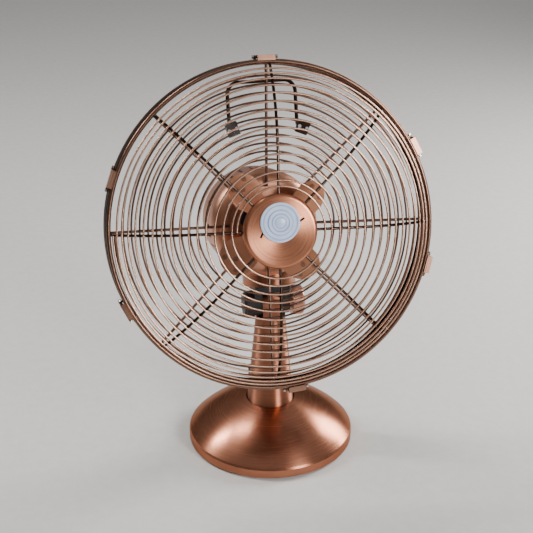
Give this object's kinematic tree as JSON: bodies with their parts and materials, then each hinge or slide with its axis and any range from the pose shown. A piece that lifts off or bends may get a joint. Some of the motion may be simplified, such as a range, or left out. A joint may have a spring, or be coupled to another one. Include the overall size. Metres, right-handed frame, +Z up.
{
  "type": "electric fan",
  "caption": "Desk fan with a domed base, tapered column, tilting neck and a swinging motor head in a spiral wire cage closed by rim latches.",
  "frame": {"origin": "on the table under the column, at the centre of the base pad's underside", "axes": "+Z up; the fan blows towards -Y, tilted 17 degrees up at rest; +X is to the right seen from the front"},
  "size_m": [0.34, 0.2477, 0.4741],
  "materials": {
    "copper_sheet": "copper-plated sheet, brushed and lacquered",
    "copper_wire": "copper-plated wire, satin",
    "dark_copper": "antique copper, dark satin",
    "black_plastic": "black moulded plastic, satin",
    "clear_plastic": "clear smoke-tinted plastic, polished",
    "badge_plastic": "pale plastic, satin gloss",
    "nylon": "natural nylon",
    "rubber": "black, matt",
    "iron": "as cast",
    "steel": "zinc plated",
    "bright_steel": "polished",
    "laminations": "varnished electrical sheet",
    "alloy": "die cast",
    "bronze": "sintered bronze",
    "coil": "lacquered copper wire"
  },
  "bodies": {
    "stand": {"base_shell": "copper_sheet", "base_plate": "steel", "base_ballast": "iron", "base_pad": "rubber", "base_screws": "steel", "column_tube": "copper_sheet", "tilt_lug": "copper_sheet", "tie_tube": "steel", "tie_nut": "steel", "speed_switch": "black_plastic", "dial_disc": "alloy", "cord_gland": "rubber"},
    "speed_dial": {"speed_knob": "black_plastic", "switch_spindle": "steel"},
    "neck": {"neck_fork": "black_plastic", "swing_bush": "bronze", "swing_washer": "nylon", "tilt_bolt": "steel", "tilt_cap": "black_plastic"},
    "tilt_screw": {"tilt_knob": "copper_sheet"},
    "head": {"swing_pin": "steel", "neck_cup": "copper_sheet", "gear_case": "alloy", "front_bracket": "alloy", "rear_bracket": "alloy", "stator": "laminations", "windings": "coil", "bearings": "bronze", "motor_bolts": "steel", "motor_shell": "copper_sheet", "rear_cover": "copper_sheet", "cover_screw": "steel", "rear_guard": "dark_copper", "guard_plate": "copper_sheet", "guard_nut": "black_plastic", "rim_band": "dark_copper", "clip_pins": "bright_steel", "front_guard": "copper_wire", "centre_plate": "copper_sheet", "badge": "badge_plastic", "plate_back": "steel", "plate_screw": "steel", "carry_handle": "dark_copper", "handle_clamps": "dark_copper", "handle_screws": "steel"},
    "swing_pull": {"swing_knob": "black_plastic", "knob_stem": "steel"},
    "rotor": {"motor_shaft": "steel", "rotor_core": "laminations", "cross_pin": "steel", "spinner": "black_plastic", "blade_spider": "copper_sheet", "fan_blades": "clear_plastic", "blade_rivets": "copper_wire"},
    "latch_1": {"clip_1": "copper_wire"},
    "latch_2": {"clip_2": "copper_wire"},
    "latch_3": {"clip_3": "copper_wire"},
    "latch_4": {"clip_4": "copper_wire"},
    "latch_5": {"clip_5": "copper_wire"},
    "latch_6": {"clip_6": "copper_wire"}
  },
  "joints": [
    {"name": "tilt", "type": "hinge", "parent": "stand", "child": "neck", "pos_m": [0, 0, 0.176], "axis": [-1, 0, 0], "range_deg": [-25, 15]},
    {"name": "swing", "type": "hinge", "parent": "neck", "child": "head", "pos_m": [0, 0.00702, 0.19895], "axis": [0, 0.2924, 0.9563], "range_deg": [-40, 40]},
    {"name": "rotor_spin", "type": "hinge", "parent": "head", "child": "rotor", "pos_m": [-0.016, -0.08471, 0.30595], "axis": [0, -0.9563, 0.2924], "continuous": true},
    {"name": "tilt_knob_turn", "type": "hinge", "parent": "neck", "child": "tilt_screw", "pos_m": [0, 0, 0.176], "axis": [1, 0, 0], "range_deg": [0, 270]},
    {"name": "speed_turn", "type": "hinge", "parent": "stand", "child": "speed_dial", "pos_m": [0, 0.064, 0.03882], "axis": [0, 0.496, 0.8683], "range_deg": [0, 120]},
    {"name": "swing_pull_slide", "type": "slide", "parent": "head", "child": "swing_pull", "axis": [0, 0.9563, -0.2924], "range_m": [0, 0.008]},
    {"name": "latch_1_turn", "type": "hinge", "parent": "head", "child": "latch_1", "pos_m": [-0.013, -0.03058, 0.46933], "axis": [-0.9998, 0.0051, 0.0167], "range_deg": [0, 100]},
    {"name": "latch_2_turn", "type": "hinge", "parent": "head", "child": "latch_2", "pos_m": [0.13998, -0.05962, 0.37433], "axis": [-0.4226, 0.265, 0.8667], "range_deg": [0, 100]},
    {"name": "latch_3_turn", "type": "hinge", "parent": "head", "child": "latch_3", "pos_m": [0.14768, -0.09643, 0.25392], "axis": [0.309, 0.2781, 0.9095], "range_deg": [0, 100]},
    {"name": "latch_4_turn", "type": "hinge", "parent": "head", "child": "latch_4", "pos_m": [-0.001, -0.13101, 0.14082], "axis": [0.9962, 0.0255, 0.0833], "range_deg": [0, 100]},
    {"name": "latch_5_turn", "type": "hinge", "parent": "head", "child": "latch_5", "pos_m": [-0.17198, -0.10215, 0.23522], "axis": [0.4226, -0.265, -0.8667], "range_deg": [0, 100]},
    {"name": "latch_6_turn", "type": "hinge", "parent": "head", "child": "latch_6", "pos_m": [-0.17667, -0.06285, 0.36375], "axis": [-0.3584, -0.273, -0.8928], "range_deg": [0, 100]}
  ]
}
